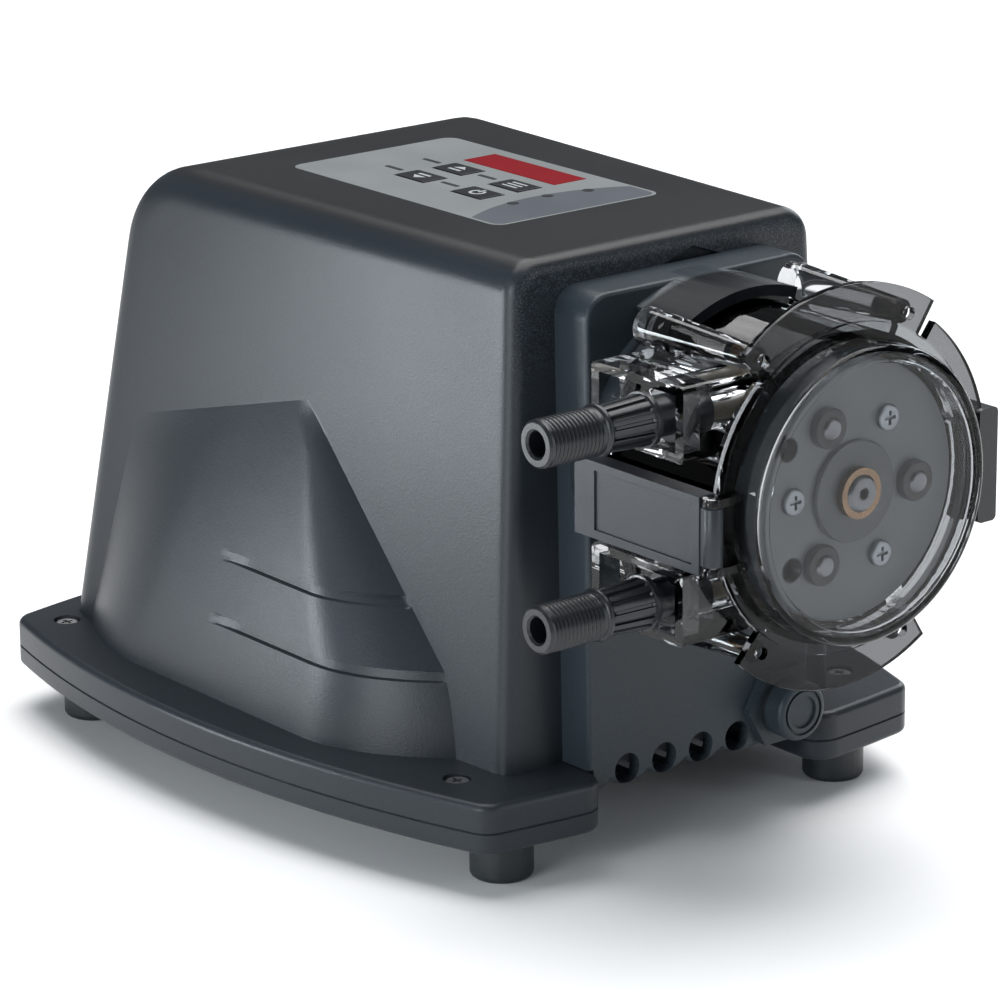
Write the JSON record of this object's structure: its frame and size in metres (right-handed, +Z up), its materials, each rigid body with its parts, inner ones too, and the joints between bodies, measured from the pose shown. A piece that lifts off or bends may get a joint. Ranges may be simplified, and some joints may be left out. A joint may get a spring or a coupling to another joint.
{
  "type": "peristaltic pump",
  "caption": "Bench-top peristaltic dosing pump: slate plastic housing with side arches and keypad, and a clear roller head with threaded tube ports.",
  "frame": {"origin": "on the plane the feet stand on, under the middle of the overall outline", "axes": "+X points from the housing to the pump head, -Y is the operator's side that the tube ports point to, +Z up"},
  "size_m": [0.288, 0.1932, 0.1664],
  "materials": {
    "housing_plastic": "satin slate grey, fine spark texture",
    "panel_plastic": "matt dark slate",
    "bracket_plastic": "satin mid grey",
    "black_plastic": "semi-gloss black",
    "clear_plastic": "clear, lightly smoked, polished",
    "label_film": "satin printed film",
    "display_red": "deep red filter window",
    "led_lens": "dark lens",
    "key_film": "black printed film",
    "foot_rubber": "matt black rubber",
    "gasket_rubber": "foam cord",
    "tube_rubber": "translucent cream elastomer",
    "screw_steel": "plated steel",
    "shaft_steel": "ground steel",
    "brass": "turned brass",
    "circuit_board": "green laminate with solder mask",
    "component_black": "moulded black components",
    "transformer_steel": "varnished steel laminations",
    "capacitor_sleeve": "blue shrink sleeve",
    "motor_steel": "black painted steel",
    "motor_copper": "enamelled windings",
    "gear_plastic": "natural acetal",
    "gearbox_zinc": "cast zinc",
    "roller_plate": "satin grey",
    "roller_plastic": "natural acetal"
  },
  "bodies": {
    "housing": {"housing_shell": "housing_plastic", "base_plate": "housing_plastic", "base_gasket": "gasket_rubber", "rubber_feet": "foot_rubber", "foot_screws": "screw_steel", "flange_screws": "screw_steel", "keypad_label": "label_film", "display_window": "display_red", "led_indicators": "led_lens", "key_switches": "component_black", "control_board": "circuit_board", "control_chips": "component_black", "board_screws": "screw_steel", "display_module": "component_black", "power_board": "circuit_board", "transformer": "transformer_steel", "power_capacitors": "capacitor_sleeve", "power_components": "component_black", "motor_can": "motor_steel", "motor_endcap": "motor_steel", "motor_stator": "motor_copper", "motor_bushes": "brass", "idler_pin": "shaft_steel", "gearbox_case": "gearbox_zinc", "gearbox_cover": "gearbox_zinc", "gearbox_screws": "screw_steel", "shaft_bearings": "shaft_steel", "shaft_seal": "gasket_rubber", "front_panel": "panel_plastic", "connector_body": "black_plastic", "connector_cap": "panel_plastic", "head_bracket": "bracket_plastic", "hinge_pin": "shaft_steel", "head_screws": "screw_steel", "tube_housing": "clear_plastic", "boss_inserts": "brass", "pump_tube": "tube_rubber", "discharge_fitting": "black_plastic", "suction_fitting": "black_plastic"},
    "cover": {"head_cover": "clear_plastic"},
    "rotor": {"roller_plate_front": "roller_plate", "roller_plate_rear": "roller_plate", "roller_pins": "shaft_steel", "plate_screws": "screw_steel", "shaft_collar": "brass", "output_shaft": "shaft_steel", "output_gear": "gear_plastic"},
    "roller_1": {"roller_1": "roller_plastic"},
    "roller_2": {"roller_2": "roller_plastic"},
    "roller_3": {"roller_3": "roller_plastic"},
    "motor_rotor": {"motor_shaft": "shaft_steel", "motor_core": "shaft_steel", "motor_fan": "black_plastic", "drive_pinion": "brass"},
    "idler": {"idler_gear": "gear_plastic"},
    "latch": {"head_latch": "black_plastic"},
    "key_up": {"key_up": "key_film"},
    "key_down": {"key_down": "key_film"},
    "key_mode": {"key_mode": "key_film"},
    "key_power": {"key_power": "key_film"}
  },
  "joints": [
    {"name": "rotor_spin", "type": "hinge", "parent": "housing", "child": "rotor", "pos_m": [0.115, 0, 0.112], "axis": [1, 0, 0], "continuous": true},
    {"name": "idler_spin", "type": "hinge", "parent": "housing", "child": "idler", "pos_m": [0.045, 0, 0.0864], "axis": [1, 0, 0], "continuous": true},
    {"name": "motor_spin", "type": "hinge", "parent": "housing", "child": "motor_rotor", "pos_m": [0, 0, 0.112], "axis": [1, 0, 0], "continuous": true},
    {"name": "roller_1_spin", "type": "hinge", "parent": "rotor", "child": "roller_1", "pos_m": [0.115, -0.00953, 0.13071], "axis": [1, 0, 0], "continuous": true},
    {"name": "roller_2_spin", "type": "hinge", "parent": "rotor", "child": "roller_2", "pos_m": [0.115, 0.02097, 0.1109], "axis": [1, 0, 0], "continuous": true},
    {"name": "roller_3_spin", "type": "hinge", "parent": "rotor", "child": "roller_3", "pos_m": [0.115, -0.01144, 0.09439], "axis": [1, 0, 0], "continuous": true},
    {"name": "cover_hinge", "type": "hinge", "parent": "housing", "child": "cover", "pos_m": [0.1352, -0.0472, 0.112], "axis": [0, 0, -1], "range_deg": [0, 105]},
    {"name": "latch_slide", "type": "slide", "parent": "housing", "child": "latch", "axis": [-1, 0, 0], "range_m": [0, 0.008]},
    {"name": "key_up_press", "type": "slide", "parent": "housing", "child": "key_up", "axis": [0, 0, -1], "range_m": [0, 0.0005], "stiffness_N_per_m": 600, "springref_m": -0.0002},
    {"name": "key_down_press", "type": "slide", "parent": "housing", "child": "key_down", "axis": [0, 0, -1], "range_m": [0, 0.0005], "stiffness_N_per_m": 600, "springref_m": -0.0002},
    {"name": "key_mode_press", "type": "slide", "parent": "housing", "child": "key_mode", "axis": [0, 0, -1], "range_m": [0, 0.0005], "stiffness_N_per_m": 600, "springref_m": -0.0002},
    {"name": "key_power_press", "type": "slide", "parent": "housing", "child": "key_power", "axis": [0, 0, -1], "range_m": [0, 0.0005], "stiffness_N_per_m": 600, "springref_m": -0.0002}
  ],
  "couplings": [
    {"joint": "idler_spin", "follows": "rotor_spin", "ratio": -3},
    {"joint": "motor_spin", "follows": "rotor_spin", "ratio": 9},
    {"joint": "roller_1_spin", "follows": "rotor_spin", "ratio": -3.625},
    {"joint": "roller_2_spin", "follows": "rotor_spin", "ratio": -3.625},
    {"joint": "roller_3_spin", "follows": "rotor_spin", "ratio": -3.625}
  ]
}
